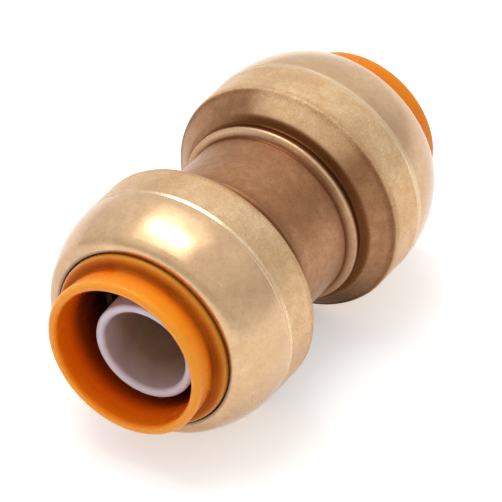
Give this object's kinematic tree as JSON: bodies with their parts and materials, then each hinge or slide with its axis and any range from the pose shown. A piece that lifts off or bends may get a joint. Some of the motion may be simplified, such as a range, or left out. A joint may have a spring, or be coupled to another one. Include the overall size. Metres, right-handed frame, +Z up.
{
  "type": "push to connect fitting",
  "caption": "Straight brass push to connect coupling for two equal tubes, with two domed caps, sprung orange release collars and loose liners.",
  "frame": {"origin": "middle of the coupling, on the common axis of both tubes", "axes": "+Y along the tube axis towards the rear end, +Z up, both ends alike"},
  "size_m": [0.028, 0.0496, 0.028],
  "materials": {
    "forged_brass": "sand-blasted forging",
    "polished_brass": "polished",
    "collar_plastic": "satin moulded",
    "spring_steel": "bright stamped",
    "spacer_plastic": "moulded",
    "seal_rubber": "smooth",
    "liner_plastic": "satin moulded"
  },
  "bodies": {
    "fitting": {"body": "forged_brass", "front_retaining_cap": "polished_brass", "front_oring_protector": "spacer_plastic", "front_oring": "seal_rubber", "rear_retaining_cap": "polished_brass", "rear_oring_protector": "spacer_plastic", "rear_oring": "seal_rubber"},
    "front_grip": {"front_grab_ring": "spring_steel"},
    "front_collar": {"front_release_collar": "collar_plastic"},
    "front_liner": {"front_tube_liner": "liner_plastic"},
    "rear_grip": {"rear_grab_ring": "spring_steel"},
    "rear_collar": {"rear_release_collar": "collar_plastic"},
    "rear_liner": {"rear_tube_liner": "liner_plastic"}
  },
  "joints": [
    {"name": "front_grip_spin", "type": "hinge", "parent": "fitting", "child": "front_grip", "pos_m": [0, -0.0164, 0], "axis": [0, -1, 0], "continuous": true},
    {"name": "front_collar_press", "type": "slide", "parent": "front_grip", "child": "front_collar", "axis": [0, 1, 0], "range_m": [0, 0.00135], "stiffness_N_per_m": 8000, "deforming": ["front_grab_ring"]},
    {"name": "front_liner_lean", "type": "hinge", "parent": "fitting", "child": "front_liner", "pos_m": [0, -0.00228, 0], "axis": [-0.5664, 0, -0.8241], "range_deg": [0, 5.8]},
    {"name": "rear_grip_spin", "type": "hinge", "parent": "fitting", "child": "rear_grip", "pos_m": [0, 0.0164, 0], "axis": [0, 1, 0], "continuous": true},
    {"name": "rear_collar_press", "type": "slide", "parent": "rear_grip", "child": "rear_collar", "axis": [0, -1, 0], "range_m": [0, 0.00135], "stiffness_N_per_m": 8000, "deforming": ["rear_grab_ring"]},
    {"name": "rear_liner_lean", "type": "hinge", "parent": "fitting", "child": "rear_liner", "pos_m": [0, 0.00228, 0], "axis": [0.5664, 0, 0.8241], "range_deg": [0, 5.8]}
  ]
}
